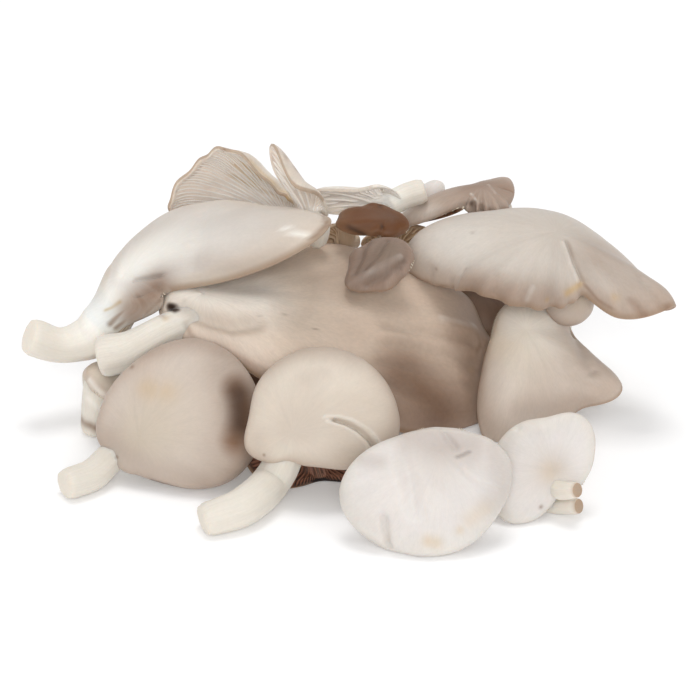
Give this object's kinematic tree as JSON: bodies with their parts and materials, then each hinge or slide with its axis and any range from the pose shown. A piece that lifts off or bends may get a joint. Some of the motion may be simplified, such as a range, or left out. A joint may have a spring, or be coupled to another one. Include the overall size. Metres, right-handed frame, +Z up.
{
  "type": "oyster mushroom cluster",
  "caption": "Heap of loose grey oyster mushrooms: overlapping smooth fan-shaped caps with gills beneath and short pale cut stems, lying as food on a flat surface.",
  "frame": {"origin": "centre of the heap's bounding box on the surface it lies on", "axes": "+X to the viewer's right along the heap's long side, +Y away from the viewer, +Z up"},
  "size_m": [0.2114, 0.1577, 0.0881],
  "materials": {
    "grey_beige_skin": "satin",
    "cream_skin": "satin",
    "white_skin": "satin",
    "tan_skin": "satin",
    "grey_brown_skin": "satin",
    "shaded_gills": "satin",
    "pale_gills": "satin",
    "olive_brown_skin": "satin"
  },
  "bodies": {
    "root": {"front_left": "grey_beige_skin", "front_middle": "cream_skin", "front_white": "white_skin", "front_right": "white_skin", "sprig": "cream_skin", "right": "tan_skin", "upper_right": "tan_skin", "under_right": "grey_beige_skin", "centre_fan": "grey_brown_skin", "centre_lobe": "grey_brown_skin", "upper_left": "cream_skin", "left_stub": "cream_skin", "under_front": "shaded_gills", "back_fan": "pale_gills", "back_lobe": "pale_gills", "back_middle": "pale_gills", "back_folded": "olive_brown_skin", "back_gilled": "pale_gills", "back_white": "white_skin", "dark_curled": "grey_brown_skin", "back_under": "pale_gills", "inner_left": "grey_brown_skin", "inner_right": "grey_brown_skin"}
  },
  "joints": []
}
